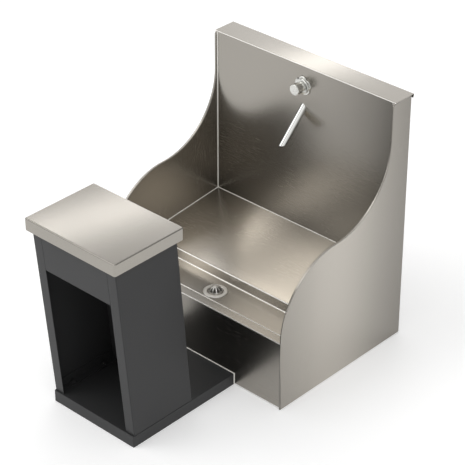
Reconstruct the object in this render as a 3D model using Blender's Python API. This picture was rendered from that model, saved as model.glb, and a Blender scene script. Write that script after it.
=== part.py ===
"""Sit-down wash station: a stainless wash cabinet with a wall tap, a sloping wash deck and a
drain trough, and a seat on a leaning pedestal in front of it.

Run it with blender --background --python part.py, or from Blender's text editor.

Lengths are in metres. X runs across the cabinet, Y from the seat to the rear, Z up. The pieces
are dimensioned from a datum at the front edge of the side panels, on the floor; the datum empty
carries them all, and places the middle of the whole footprint at the origin.
"""

import math

import bmesh
import bpy
from mathutils import Vector

# Driving dimensions ---------------------------------------------------------------------------

GAP = 0.0003                    # left between pieces that touch
SHEET = 0.0015                  # stainless sheet
STEEL = 0.0020                  # powder-coated pedestal sheet
RAIL = 0.0030                   # frame angles
FOLD = 0.0030                   # outer radius of a fold
TIGHT_FOLD = 0.0018

CABINET_WIDTH = 0.700
CABINET_DEPTH = 0.548
CABINET_HEIGHT = 0.821
CHEEK_THICKNESS = 0.008         # double-skinned side panels
CHEEK_NECK = 0.467              # the side panels' front edge beside the splashback
CHEEK_SHOULDER = 0.230          # height where the side panels start to curve back
CHEEK_CORNER = 0.010
WALL_Y = 0.473                  # washing face of the splashback

DECK_FRONT = 0.157              # front edge of the sloping deck
DECK_FRONT_Z = 0.241
DECK_SLOPE = 0.0972             # rise per unit of depth
TROUGH_Z = 0.2085
TROUGH_FRONT = 0.035
RIM_Z = 0.229
PANEL_RECESS = 0.004            # front panel behind the side panels' edge

TAP_X = 0.006                   # the tap stands just right of the middle
BUTTON_Z = 0.7565
BUTTON_FACE = 0.042             # in front of the splashback
BUTTON_RADIUS = 0.0175
SPOUT_Z = 0.6800                # where the spout's axis leaves the splashback
SPOUT_REACH = 0.086
SPOUT_ANGLE = math.radians(45)  # below the horizontal
SPOUT_RADIUS = 0.011

NECK_FACE = 0.031               # the valve's neck, in front of the splashback
NECK_BOTTOM = 0.008             # floor of the spring pocket, in front of the splashback
VALVE_NECK_RADIUS = 0.0150
STEM_RADIUS = 0.0040
BARREL_RADIUS = 0.0135
SPOUT_TAIL_Z = 0.7190
CHAMBER_FOOT = 0.7215

PIPE_RADIUS = 0.0075
PIPE_BORE = 0.0062
SUPPLY_X = 0.090
SUPPLY_Y = 0.507
LEVER_Z = 0.442

DRAIN_Y = 0.098
DRAIN_BORE = 0.0248
WASTE_NECK_RADIUS = 0.0260
STRAINER_STEP = 0.0085          # below the trough's floor
WASTE_Z = 0.125
TRAP_OUTLET_END = 0.175

PLINTH_HALF = 0.164
PLINTH_FRONT = -0.411
PLINTH_HEIGHT = 0.038
PLINTH_WALL = 0.0025
PEDESTAL_HALF = 0.163
PEDESTAL_FRONT = -0.406         # at the plinth
PEDESTAL_DEPTH = 0.233
PEDESTAL_LEAN = -0.050          # how far the top stands in front of the foot
POST_WIDTH = 0.034
HEADER_BOTTOM = 0.482
SEAT_HALF = 0.177
SEAT_FRONT = -0.470
SEAT_REAR = -0.209
SEAT_BOTTOM = 0.606
SEAT_THICKNESS = 0.038

CAP_OVERHANG = 0.0075           # behind the cabinet
CAP_EAVE = SHEET                # beyond each side panel

FRAME_LEG = 0.040
SCREW_INSET = 0.0125            # rear panel screws, from the inner face of the side panels
SCREW_HEIGHTS = (0.070, 0.425, 0.780)
SCREW_HOLE = 0.0028
STUD_RADIUS = 0.0040
STUD_HOLE = 0.0044
NUT_FLATS = 0.013
NUT_HEIGHT = 0.0065
BASE_STUDS_X = (-0.110, 0.110)
BASE_STUD_Z = 0.019
PEDESTAL_STUDS_X = 0.149
PEDESTAL_STUDS_Y = (-0.350, -0.225)

# Derived places -------------------------------------------------------------------------------

HALF = CABINET_WIDTH / 2
INNER_X = HALF - CHEEK_THICKNESS
SPAN = INNER_X - GAP            # half width of what fits between the side panels
CHEEK_TOP = CABINET_HEIGHT - SHEET - GAP
REAR = CABINET_DEPTH
REAR_INNER = REAR - SHEET
PLINTH_REAR = PANEL_RECESS - GAP
FOOT_Z = PLINTH_HEIGHT + GAP
PEDESTAL_TOP = SEAT_BOTTOM - GAP
FOOTPRINT_MIDDLE = (SEAT_FRONT + REAR + CAP_OVERHANG) / 2
SIDES = (("left", -1), ("right", 1))
SCREW_X = SPAN - SCREW_INSET
PEDESTAL_STUDS = [(sign * PEDESTAL_STUDS_X, y) for _, sign in SIDES for y in PEDESTAL_STUDS_Y]
TAP_AXIS = (TAP_X, BUTTON_Z)
OUTLET_Y = WALL_Y + 0.019       # upright axis of the spout's tail and the chamber's outlet
LEVER_Y = SUPPLY_Y + 0.0235     # front face of the isolating lever

COLOURS = {
    "stainless": ((0.62, 0.60, 0.57), 0.32, 1.0),
    "chrome": ((0.80, 0.80, 0.80), 0.08, 1.0),
    "brass": ((0.72, 0.56, 0.30), 0.30, 1.0),
    "zinc": ((0.55, 0.56, 0.57), 0.40, 1.0),
    "powder_coat": ((0.045, 0.046, 0.048), 0.45, 0.0),
    "rubber": ((0.03, 0.03, 0.03), 0.80, 0.0),
    "white_plastic": ((0.80, 0.80, 0.78), 0.40, 0.0),
    "blue_plastic": ((0.04, 0.12, 0.40), 0.40, 0.0),
    "board": ((0.45, 0.34, 0.22), 0.70, 0.0),
}


# Scene and objects ----------------------------------------------------------------------------

def clear_scene():
    for obj in list(bpy.data.objects):
        bpy.data.objects.remove(obj, do_unlink=True)


def make_datum():
    """The empty that carries every piece."""
    datum = bpy.data.objects.new("datum", None)
    datum.location = (0, -FOOTPRINT_MIDDLE, 0)
    bpy.context.scene.collection.objects.link(datum)
    return datum


def make_material(name, finish):
    colour, roughness, metallic = COLOURS[finish]
    material = bpy.data.materials.new(name)
    material.use_nodes = True
    shader = material.node_tree.nodes["Principled BSDF"]
    shader.inputs["Base Color"].default_value = (*colour, 1)
    shader.inputs["Roughness"].default_value = roughness
    shader.inputs["Metallic"].default_value = metallic
    return material


def link_object(name, mesh, location):
    obj = bpy.data.objects.new(name, mesh)
    obj.parent = bpy.data.objects["datum"]
    obj.location = location
    bpy.context.scene.collection.objects.link(obj)
    return obj


def piece(name, rings, finish, closed=False, origin=(0, 0, 0)):
    """A named piece lofted through rings given from the datum, with its own origin."""
    bm = bmesh.new()
    loft_into(bm, rings, closed, Vector(origin))
    mesh = mesh_from(bm, name)
    mesh.materials.append(make_material(name, finish))
    return link_object(name, mesh, origin)


def mesh_from(bm, name):
    bmesh.ops.recalc_face_normals(bm, faces=bm.faces)
    mesh = bpy.data.meshes.new(name)
    bm.to_mesh(mesh)
    bm.free()
    mesh.shade_smooth()
    mesh.set_sharp_from_angle(angle=math.radians(35))
    return mesh


def tool(name, ring_sets, closed=False):
    """A shape that is added to or cut from a piece, and is not a piece itself."""
    bm = bmesh.new()
    for rings in ring_sets:
        loft_into(bm, rings, closed, Vector())
    obj = link_object(name, mesh_from(bm, name), (0, 0, 0))
    obj.hide_render = True
    obj.display_type = "WIRE"
    return obj


def combine(obj, operation, name, ring_sets, closed=False):
    """Adds (UNION) or cuts (DIFFERENCE) a lofted shape, given as one or more sets of rings."""
    modifier = obj.modifiers.new(name, "BOOLEAN")
    modifier.operation = operation
    modifier.solver = "EXACT"
    modifier.object = tool(name, ring_sets, closed)


def cut(obj, name, ring_sets):
    combine(obj, "DIFFERENCE", name, ring_sets)


def loft_into(bm, rings, closed, origin):
    """Quads between rings of equal length; a closed loft joins its last ring to its first."""
    loops = [[bm.verts.new(Vector(point) - origin) for point in ring] for ring in rings]
    count = len(loops[0])
    pairs = list(zip(loops, loops[1:]))
    if closed:
        pairs.append((loops[-1], loops[0]))
    else:
        bm.faces.new(loops[0])
        bm.faces.new(loops[-1])
    for lower, upper in pairs:
        for i in range(count):
            j = (i + 1) % count
            bm.faces.new((lower[i], lower[j], upper[j], upper[i]))


# Flat outlines --------------------------------------------------------------------------------

def arc(centre, radius, start, end, steps):
    """Points along an arc; angles in degrees."""
    points = []
    for i in range(steps + 1):
        angle = math.radians(start + (end - start) * i / steps)
        points.append((centre[0] + radius * math.cos(angle),
                       centre[1] + radius * math.sin(angle)))
    return points


def rounded(points, radius, steps=3, closed=False):
    """The polyline with each corner rounded; radius is one number, or one for each point."""
    radii = radius if isinstance(radius, (list, tuple)) else [radius] * len(points)
    count = len(points)
    result = []
    for i, (point, r) in enumerate(zip(points, radii)):
        end = not closed and i in (0, count - 1)
        if end or r == 0:
            result.append(point)
            continue
        here = Vector(point)
        before = (Vector(points[i - 1]) - here).normalized()
        after = (Vector(points[(i + 1) % count]) - here).normalized()
        half = before.angle(after) / 2
        centre = here + (before + after).normalized() * (r / math.sin(half))
        first = (here + before * (r / math.tan(half)) - centre).normalized()
        last = (here + after * (r / math.tan(half)) - centre).normalized()
        for k in range(steps + 1):
            result.append(tuple(centre + first.slerp(last, k / steps) * r))
    return result


def normal_at(points, i, closed):
    """Left-hand mitre vector of a polyline at one of its points, for a unit offset."""
    count = len(points)
    sides = []
    for a, b in ((i - 1, i), (i, i + 1)):
        if closed or (a >= 0 and b < count):
            d = (Vector(points[b % count]) - Vector(points[a % count])).normalized()
            sides.append(Vector((-d.y, d.x)))
    if len(sides) == 1:
        return sides[0]
    total = sides[0] + sides[1]
    return total * (2 / total.length_squared)


def offset(points, distance, closed=True):
    """The polyline moved to its left by a distance; to its right when that is negative."""
    return [tuple(Vector(p) + normal_at(points, i, closed) * distance)
            for i, p in enumerate(points)]


def sheet_section(path, thickness):
    """Closed outline of a bent sheet: its face line, and that line moved by the thickness."""
    return list(path) + offset(path, thickness, closed=False)[::-1]


def rectangle(x0, x1, y0, y1):
    """Anticlockwise, so that a positive offset moves inwards."""
    return [(x0, y0), (x1, y0), (x1, y1), (x0, y1)]


def circle(radius, sides=24, centre=(0, 0), turn=0.0):
    step = 2 * math.pi / sides
    return [(centre[0] + radius * math.cos(turn + i * step),
             centre[1] + radius * math.sin(turn + i * step)) for i in range(sides)]


def hexagon(across_flats, centre=(0, 0), turn=0.0):
    return circle(across_flats / math.sqrt(3), 6, centre, turn)


def scalloped(radius, depth, lobes, sides, centre, first=0.0):
    """A circle with round notches between its lobes, one of them at the first angle."""
    points = []
    for i in range(sides):
        angle = 2 * math.pi * i / sides
        notch = max(0.0, math.cos(lobes * (angle - first))) ** 1.5
        r = radius - depth * notch
        points.append((centre[0] + r * math.cos(angle), centre[1] + r * math.sin(angle)))
    return points


# Rings in space -------------------------------------------------------------------------------

def ring_x(outline, x):
    """An outline of (y, z) points at one x."""
    return [(x, a, b) for a, b in outline]


def ring_y(outline, y):
    """An outline of (x, z) points at one y."""
    return [(a, y, b) for a, b in outline]


def ring_z(outline, z, shift_y=0.0):
    """An outline of (x, y) points at one z, moved along y by a lean."""
    return [(a, b + shift_y, z) for a, b in outline]


def turned_z(profile, centre, sides=24):
    """Rings for a turned shape about a vertical axis; the profile holds (radius, z)."""
    return [ring_z(circle(r, sides, centre), z) for r, z in profile]


def turned_y(profile, centre, sides=24):
    """Rings for a turned shape about an axis along Y; the profile holds (radius, y)."""
    return [ring_y(circle(r, sides, centre), y) for r, y in profile]


def drilled(axis, centre, radius, low, high, sides=16):
    """Rings of a straight round cutter."""
    turned = turned_y if axis == "Y" else turned_z
    return turned([(radius, low), (radius, high)], centre, sides)


def swept(points, radius, sides=16):
    """Round rings along a path in space, carried without twist."""
    points = [Vector(p) for p in points]
    count = len(points)
    tangents = []
    for i in range(count):
        a = points[max(i - 1, 0)]
        b = points[min(i + 1, count - 1)]
        tangents.append((b - a).normalized())
    side = tangents[0].orthogonal().normalized()
    rings = []
    for point, tangent in zip(points, tangents):
        side = (side - tangent * side.dot(tangent)).normalized()
        other = tangent.cross(side)
        ring = []
        for k in range(sides):
            angle = 2 * math.pi * k / sides
            ring.append(point + (side * math.cos(angle) + other * math.sin(angle)) * radius)
        rings.append(ring)
    return rings


def pipe(points, outer, inner, sides=12):
    """Closed loft of a hollow pipe: out along its skin and back along its bore."""
    return swept(points, outer, sides) + swept(points, inner, sides)[::-1]


def bend(corner, before, after, radius, steps=5):
    """Points of a round pipe bend at a corner between two unit directions."""
    corner, before, after = Vector(corner), Vector(before), Vector(after)
    half = before.angle(after) / 2
    centre = corner + (before + after).normalized() * (radius / math.sin(half))
    first = (corner + before * (radius / math.tan(half)) - centre).normalized()
    last = (corner + after * (radius / math.tan(half)) - centre).normalized()
    return [centre + first.slerp(last, k / steps) * radius for k in range(steps + 1)]


def deck_height(y):
    """Top face of the sloping deck."""
    return DECK_FRONT_Z + (y - DECK_FRONT) * DECK_SLOPE


def lean_at(z):
    """How far the pedestal has moved forwards at a height."""
    return PEDESTAL_LEAN * (z - PLINTH_HEIGHT) / (SEAT_BOTTOM - PLINTH_HEIGHT)


# Cabinet --------------------------------------------------------------------------------------

def cheek_outline():
    """Side panel outline in (y, z): an S curve of two quarter arcs up to the splashback."""
    radius = CHEEK_NECK / 2
    waist = CHEEK_SHOULDER + radius
    lower = arc((radius, CHEEK_SHOULDER), radius, 180, 90, 18)
    upper = arc((radius, waist + radius), radius, -90, 0, 18)
    corner = arc((CHEEK_NECK + CHEEK_CORNER, CHEEK_TOP - CHEEK_CORNER),
                 CHEEK_CORNER, 180, 90, 4)
    clockwise = [(0, 0)] + lower + upper[1:] + corner + [(REAR, CHEEK_TOP), (REAR, 0)]
    return clockwise[::-1]


def build_cheek(side, sign):
    """A side panel: an outer skin folded round its edge, and a flat liner inside the fold."""
    outline = cheek_outline()
    inside = offset(outline, SHEET)
    liner = offset(outline, SHEET + GAP)
    liner_thickness = 0.0012
    piece("side_panel_" + side, [
        ring_x(outline, sign * HALF),
        ring_x(outline, sign * INNER_X),
        ring_x(inside, sign * INNER_X),
        ring_x(inside, sign * (HALF - SHEET)),
    ], "stainless")
    piece("side_liner_" + side, [
        ring_x(liner, sign * INNER_X),
        ring_x(liner, sign * (INNER_X + liner_thickness)),
    ], "stainless")


def spout_direction():
    """Unit vector down the spout, away from the splashback."""
    return Vector((0, -math.cos(SPOUT_ANGLE), -math.sin(SPOUT_ANGLE)))


def build_splashback():
    flange = 0.020
    bottom = deck_height(WALL_Y) + 2 * GAP
    path = rounded([(WALL_Y, bottom), (WALL_Y, CHEEK_TOP), (WALL_Y + flange, CHEEK_TOP)],
                   TIGHT_FOLD)
    section = sheet_section(path, -SHEET)
    panel = piece("back_panel", [ring_x(section, -SPAN), ring_x(section, SPAN)], "stainless")
    cut(panel, "tap_hole", [drilled("Y", TAP_AXIS, 0.014, WALL_Y - 0.01, WALL_Y + 0.01)])
    exit_point = Vector((TAP_X, WALL_Y, SPOUT_Z))
    reach = spout_direction() * 0.024
    hole = swept([exit_point - reach, exit_point + reach], SPOUT_RADIUS + 2 * GAP, 20)
    cut(panel, "spout_hole", [hole])


def build_top_cap():
    """Covers the service duct; its rear lip folds back towards the rear panel."""
    lip, lean = 0.0125, 0.0035
    half_angle = math.atan2(lip, lean) / 2
    corner = REAR + CAP_OVERHANG + TIGHT_FOLD * (1 / math.tan(half_angle) - 1)
    path = rounded([(WALL_Y, CABINET_HEIGHT), (corner, CABINET_HEIGHT),
                    (corner - lean, CABINET_HEIGHT - lip)], TIGHT_FOLD)
    section = sheet_section(path, -SHEET)
    edge = HALF + CAP_EAVE
    piece("top_cap", [ring_x(section, -edge), ring_x(section, edge)], "stainless")


def build_wash_deck():
    """One folded sheet: rear upstand, sloping deck, step, drain trough and front rim."""
    upstand = 0.015
    seam_y = WALL_Y + SHEET + GAP
    path = rounded([
        (seam_y, deck_height(seam_y) + upstand),
        (seam_y, deck_height(seam_y)),
        (DECK_FRONT, DECK_FRONT_Z),
        (DECK_FRONT, TROUGH_Z),
        (TROUGH_FRONT, TROUGH_Z),
        (TROUGH_FRONT, RIM_Z),
        (PANEL_RECESS, RIM_Z),
    ], [0, 0, FOLD, FOLD, FOLD, FOLD, 0])
    section = sheet_section(path, SHEET)
    deck = piece("wash_deck", [ring_x(section, -SPAN), ring_x(section, SPAN)], "stainless")
    hole = drilled("Z", (0, DRAIN_Y), WASTE_NECK_RADIUS + 0.0005, TROUGH_Z - 0.02,
                   TROUGH_Z + 0.01, 24)
    cut(deck, "drain_hole", [hole])


def build_front_panel():
    top = RIM_Z - SHEET - GAP
    bottom = 0.003
    flange = 0.022
    path = rounded([(PANEL_RECESS + flange, top), (PANEL_RECESS, top),
                    (PANEL_RECESS, bottom), (PANEL_RECESS + flange, bottom)], TIGHT_FOLD)
    section = sheet_section(path, SHEET)
    panel = piece("front_panel", [ring_x(section, -SPAN), ring_x(section, SPAN)], "stainless")
    holes = [drilled("Y", (x, BASE_STUD_Z), STUD_HOLE, PANEL_RECESS - 0.01, PANEL_RECESS + 0.01)
             for x in BASE_STUDS_X]
    cut(panel, "base_stud_holes", holes)


def rear_screw_holes(x_places):
    """Cutters for the rear panel's screws, through the panel and the uprights behind it."""
    return [drilled("Y", (x, z), SCREW_HOLE, REAR - 0.018, REAR + 0.012, 12)
            for x in x_places for z in SCREW_HEIGHTS]


def build_frame():
    """Angles along the floor and up the rear corners, and the channel under the deck."""
    leg = FRAME_LEG
    front, rear = 0.028, REAR_INNER - GAP
    rail_end = rear - 0.0062
    depth = rear - 0.0462
    upright_flange = 0.025
    for side, sign in SIDES:
        path = [(sign * SPAN, leg), (sign * SPAN, 0), (sign * (SPAN - leg), 0)]
        section = sheet_section(path, -sign * RAIL)
        piece("bottom_rail_" + side, [ring_y(section, front), ring_y(section, rail_end)], "zinc")
    across = SPAN - leg - GAP
    section = sheet_section([(rear, leg), (rear, 0), (depth, 0)], -RAIL)
    piece("rear_bottom_rail", [ring_x(section, -across), ring_x(section, across)], "zinc")
    for side, sign in SIDES:
        path = [(sign * SPAN, depth), (sign * SPAN, rear), (sign * (SPAN - upright_flange), rear)]
        section = sheet_section(path, sign * SHEET)
        bottom, top = leg + 2 * GAP, CHEEK_TOP - SHEET
        upright = piece("rear_upright_" + side, [ring_z(section, bottom), ring_z(section, top)],
                        "stainless")
        cut(upright, "upright_holes_" + side, rear_screw_holes([sign * SCREW_X]))
    build_deck_channel()


def build_deck_channel():
    """An open channel that stiffens the deck from below, with its web on the deck's slope."""
    front, rear, foot = 0.300, 0.345, 0.215
    under = SHEET + 2 * GAP
    path = [(front, foot), (front, deck_height(front) - under),
            (rear, deck_height(rear) - under), (rear, foot)]
    section = sheet_section(path, -SHEET)
    edge = SPAN - GAP
    piece("deck_channel", [ring_x(section, -edge), ring_x(section, edge)], "stainless")


def build_rear_panel():
    """The removable panel behind the plumbing, with an opening for the hose and the waste."""
    edge, foot, head = SPAN - GAP, 0.012, 0.806
    outline = rectangle(-edge, edge, foot, head)
    panel = piece("rear_access_panel",
                  [ring_y(outline, REAR_INNER), ring_y(outline, REAR)], "stainless")
    left, right, low, high, corner = -0.035, 0.125, 0.085, 0.165, 0.012
    opening = rounded(rectangle(left, right, low, high), corner, 4, closed=True)
    cut(panel, "service_opening", [[ring_y(opening, REAR - 0.01), ring_y(opening, REAR + 0.01)]])
    cut(panel, "rear_panel_holes", rear_screw_holes([sign * SCREW_X for _, sign in SIDES]))


def build_rear_screws():
    """Pan-headed screws, numbered upwards, the left column first."""
    shank, crown, seat = 0.0025, 0.0050, REAR + GAP
    tip = REAR - 0.0095
    profile = [(0.7 * shank, tip), (shank, tip + 0.001), (shank, seat), (crown, seat),
               (crown, seat + 0.0012), (0.7 * crown, seat + 0.0028)]
    places = [(sign * SCREW_X, z) for _, sign in SIDES for z in SCREW_HEIGHTS]
    for number, centre in enumerate(places, 1):
        piece(f"rear_panel_screw_{number}", turned_y(profile, centre, 12), "zinc")


# Tap and water supply -------------------------------------------------------------------------

def out(distance):
    """A y that lies this far in front of the splashback; behind it when negative."""
    return WALL_Y - distance


def build_tap():
    """Push-button valve: notched collar, body with a spring pocket, and locknut behind."""
    build_valve_collar()
    build_valve_body()
    nut = hexagon(0.034, TAP_AXIS)
    front, rear = out(-SHEET - GAP), out(-0.0078)
    locknut = piece("valve_locknut", [ring_y(nut, front), ring_y(nut, rear)], "brass")
    bore = drilled("Y", TAP_AXIS, BARREL_RADIUS + GAP, front - 0.01, rear + 0.01, 24)
    cut(locknut, "locknut_bore", [bore])


def build_valve_collar():
    sides, notches, first_notch = 40, 5, math.radians(57)
    notch_depth, thickness = 0.0050, 0.0045
    outer = scalloped(0.0305, notch_depth, notches, sides, TAP_AXIS, first_notch)
    face = scalloped(0.0290, notch_depth, notches, sides, TAP_AXIS, first_notch)
    hole = circle(BARREL_RADIUS + 2 * GAP, sides, TAP_AXIS)
    piece("valve_collar", [
        ring_y(outer, out(GAP)), ring_y(outer, out(thickness - 0.0015)),
        ring_y(face, out(thickness)), ring_y(hole, out(thickness)), ring_y(hole, out(GAP)),
    ], "chrome", closed=True)


def build_valve_body():
    """One turned piece; the profile runs from the stem's bore round to the barrel's end."""
    bore, pocket, flange = STEM_RADIUS + GAP, 0.0105, 0.0245
    barrel_end, flange_back, flange_face = -0.0240, 0.0048, 0.0095
    profile = [(bore, out(barrel_end + 0.002)), (bore, out(NECK_BOTTOM)),
               (pocket, out(NECK_BOTTOM)), (pocket, out(NECK_FACE)),
               (VALVE_NECK_RADIUS - 0.0005, out(NECK_FACE)),
               (VALVE_NECK_RADIUS, out(NECK_FACE - 0.0005)),
               (VALVE_NECK_RADIUS, out(flange_face + 0.001)),
               (flange - 0.002, out(flange_face)), (flange, out(flange_face - 0.0015)),
               (flange, out(flange_back)), (BARREL_RADIUS, out(flange_back)),
               (BARREL_RADIUS, out(barrel_end))]
    piece("valve_body", turned_y(profile, TAP_AXIS), "chrome")


def build_valve_chamber():
    """Screwed on the body behind the splashback: water enters at its side, leaves below."""
    front, rear, shoulder = out(-0.0095), out(-0.0500), out(-0.0243)
    hollow, inlet_end = 0.0120, TAP_X + 0.032
    chamber = piece("valve_chamber", turned_y([(0.0175, front), (0.0175, rear)], TAP_AXIS),
                    "brass")
    inlet = swept([(TAP_X + 0.005, SUPPLY_Y, BUTTON_Z), (inlet_end, SUPPLY_Y, BUTTON_Z)],
                  PIPE_RADIUS + 0.003)
    outlet = swept([(TAP_X, OUTLET_Y, BUTTON_Z - 0.005), (TAP_X, OUTLET_Y, CHAMBER_FOOT)],
                   0.0085)
    combine(chamber, "UNION", "chamber_ports", [inlet, outlet])
    socket = turned_y([(BARREL_RADIUS + GAP, front - 0.01), (BARREL_RADIUS + GAP, shoulder),
                       (hollow, shoulder), (hollow, rear - 0.003)], TAP_AXIS)
    cut(chamber, "chamber_bore", [socket])
    inlet_bore = [(TAP_X, SUPPLY_Y, BUTTON_Z), (inlet_end + 0.01, SUPPLY_Y, BUTTON_Z)]
    cut(chamber, "inlet_bore", [swept(inlet_bore, PIPE_RADIUS + GAP)])
    outlet_bore = [(TAP_X, OUTLET_Y, BUTTON_Z), (TAP_X, OUTLET_Y, CHAMBER_FOOT - 0.02)]
    cut(chamber, "outlet_bore", [swept(outlet_bore, 0.0060)])


def build_push_button():
    """A cap with a skirt over the valve's neck and a stem down its bore; it slides along Y."""
    inside, crown, skirt_end = 0.0155, 0.004, 0.022
    profile = [(STEM_RADIUS, out(-0.0120)), (STEM_RADIUS, out(BUTTON_FACE - crown)),
               (inside, out(BUTTON_FACE - crown)), (inside, out(skirt_end)),
               (BUTTON_RADIUS, out(skirt_end)), (BUTTON_RADIUS, out(BUTTON_FACE - 0.0012)),
               (BUTTON_RADIUS - 0.0012, out(BUTTON_FACE))]
    piece("push_button", turned_y(profile, TAP_AXIS), "chrome",
          origin=(TAP_X, out(BUTTON_FACE), BUTTON_Z))


def build_valve_spring():
    """Return spring between the bottom of the body's pocket and the button."""
    turns, steps = 4, 10
    radius, wire = 0.0073, 0.0008
    low, high = NECK_BOTTOM + 0.0012, BUTTON_FACE - 0.0052
    points = []
    for i in range(turns * steps + 1):
        angle = 2 * math.pi * i / steps
        distance = low + (high - low) * i / (turns * steps)
        points.append((TAP_X + radius * math.cos(angle), out(distance),
                       BUTTON_Z + radius * math.sin(angle)))
    piece("valve_spring", swept(points, wire, 5), "zinc")


def build_spout():
    """Straight tube out of the splashback, cut level at its mouth, bent upright behind it."""
    down = spout_direction()
    rise = (OUTLET_Y - WALL_Y) * math.tan(SPOUT_ANGLE)
    mouth = Vector((TAP_X, WALL_Y, SPOUT_Z)) + down * (SPOUT_REACH / math.cos(SPOUT_ANGLE))
    bend_radius, sides = 0.016, 20
    path = [(TAP_X, OUTLET_Y, SPOUT_TAIL_Z)]
    path += bend((TAP_X, OUTLET_Y, SPOUT_Z + rise), (0, 0, 1), down, bend_radius)
    path += [mouth]
    skin = swept(path, SPOUT_RADIUS, sides)
    bore = swept(path, SPOUT_RADIUS - SHEET, sides)
    for ring in (skin[-1], bore[-1]):
        for point in ring:
            point += down * ((mouth.z - point.z) / down.z)
    piece("spout_tube", skin + bore[::-1], "chrome", closed=True)


def build_spout_union():
    """The nut that draws the spout's tail to the valve chamber."""
    centre = (TAP_X, OUTLET_Y)
    low, high = SPOUT_TAIL_Z - 0.008, CHAMBER_FOOT + 0.0065
    nut = piece("spout_union_nut",
                [ring_z(hexagon(0.026, centre), low), ring_z(hexagon(0.026, centre), high)],
                "brass")
    shoulder = SPOUT_TAIL_Z + GAP
    wide, narrow = SPOUT_RADIUS + GAP, 0.0088
    bore = turned_z([(wide, low - 0.002), (wide, shoulder), (narrow, shoulder),
                     (narrow, high + 0.002)], centre)
    cut(nut, "union_bore", [bore])


def build_supply():
    """Pipe from the chamber down to the isolating valve, and on to the inlet connector."""
    bend_radius, overlap, foot = 0.030, 0.022, 0.140
    upper = [(TAP_X + 0.022, SUPPLY_Y, BUTTON_Z)]
    upper += bend((SUPPLY_X, SUPPLY_Y, BUTTON_Z), (-1, 0, 0), (0, 0, -1), bend_radius)
    upper += [(SUPPLY_X, SUPPLY_Y, LEVER_Z + overlap)]
    piece("supply_pipe_upper", pipe(upper, PIPE_RADIUS, PIPE_BORE), "brass", closed=True)
    lower = [(SUPPLY_X, SUPPLY_Y, LEVER_Z - overlap), (SUPPLY_X, SUPPLY_Y, foot)]
    piece("supply_pipe_lower", pipe(lower, PIPE_RADIUS, PIPE_BORE), "brass", closed=True)
    build_inlet_connector(foot)
    build_isolating_valve()


def build_inlet_connector(pipe_foot):
    """Half-inch threaded tail below the pipe: a socket, a wrench collar and the thread."""
    socket, stop = PIPE_RADIUS + GAP, pipe_foot - 0.0005
    profile = [(socket, stop + 0.0105), (0.0120, stop + 0.0105), (0.0120, stop - 0.0055),
               (0.0140, stop - 0.0075), (0.0140, stop - 0.0195), (0.0105, stop - 0.0215),
               (0.0105, stop - 0.0415), (PIPE_BORE, stop - 0.0415), (PIPE_BORE, stop),
               (socket, stop)]
    piece("inlet_connector", turned_z(profile, (SUPPLY_X, SUPPLY_Y)), "brass", closed=True)


def build_isolating_valve():
    """Quarter-turn valve: body with a stem, lever on the stem, and the nut that keeps it."""
    centre = (SUPPLY_X, SUPPLY_Y)
    socket, bore, stop, end = PIPE_RADIUS + GAP, 0.0060, 0.0215, 0.036
    skin = [(-end, 0.0120), (-0.020, 0.0120), (-0.015, 0.0160),
            (0.015, 0.0160), (0.020, 0.0120), (end, 0.0120)]
    passage = [(end, socket), (stop, socket), (stop, bore),
               (-stop, bore), (-stop, socket), (-end, socket)]
    profile = [(radius, LEVER_Z + height) for height, radius in skin + passage]
    body = piece("isolating_valve", turned_z(profile, centre), "brass", closed=True)
    axis = (SUPPLY_X, LEVER_Z)
    boss, spindle = 0.0065, 0.0030
    stem = turned_y([(boss, SUPPLY_Y + 0.010), (boss, LEVER_Y - GAP),
                     (spindle, LEVER_Y - GAP), (spindle, LEVER_Y + 0.0080)], axis, 16)
    combine(body, "UNION", "valve_stem", [stem])
    build_isolating_lever(axis, spindle + GAP)


def build_isolating_lever(axis, hole):
    low, high = LEVER_Y, LEVER_Y + 0.0025
    hub, tip, length = 0.0090, 0.0055, 0.060
    outline = arc(axis, hub, 140, 400, 14) + arc((SUPPLY_X, LEVER_Z + length), tip, 0, 180, 6)
    lever = piece("isolating_lever", [ring_y(outline, low), ring_y(outline, high)],
                  "blue_plastic", origin=(SUPPLY_X, LEVER_Y, LEVER_Z))
    cut(lever, "lever_hole", [drilled("Y", axis, hole, low - 0.005, high + 0.005)])
    hexagonal = hexagon(0.010, axis)
    nut = piece("lever_nut", [ring_y(hexagonal, high + GAP), ring_y(hexagonal, high + 0.0045)],
                "zinc")
    cut(nut, "lever_nut_bore", [drilled("Y", axis, hole, low, high + 0.02)])


# Waste ----------------------------------------------------------------------------------------

def build_waste():
    """Waste flange and neck through the trough, with its gasket and locknut below."""
    centre = (0, DRAIN_Y)
    seat, foot = TROUGH_Z + GAP, 0.150
    bore, lower_bore, flange = DRAIN_BORE, 0.0225, 0.0375
    step_z = TROUGH_Z - STRAINER_STEP
    profile = [(bore, seat + 0.0016), (bore + 0.0012, seat + 0.0024),
               (flange - 0.0035, seat + 0.0024), (flange - 0.0007, seat + 0.0014),
               (flange, seat), (WASTE_NECK_RADIUS, seat), (WASTE_NECK_RADIUS, foot),
               (lower_bore, foot), (lower_bore, step_z), (bore, step_z)]
    piece("waste_body", turned_z(profile, centre), "chrome", closed=True)
    ring, gasket_edge = WASTE_NECK_RADIUS + GAP, 0.0360
    top = TROUGH_Z - SHEET - GAP
    bottom = top - 0.0027
    gasket = [(ring, top), (gasket_edge, top), (gasket_edge, bottom), (ring, bottom)]
    piece("waste_gasket", turned_z(gasket, centre), "rubber", closed=True)
    sides, lobes, height = 36, 6, 0.0105
    top = bottom - GAP
    outer = scalloped(0.0370, 0.0025, lobes, sides, centre)
    inner = circle(ring, sides, centre)
    piece("waste_locknut", [
        ring_z(outer, top), ring_z(outer, top - height),
        ring_z(inner, top - height), ring_z(inner, top),
    ], "white_plastic", closed=True)


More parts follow.
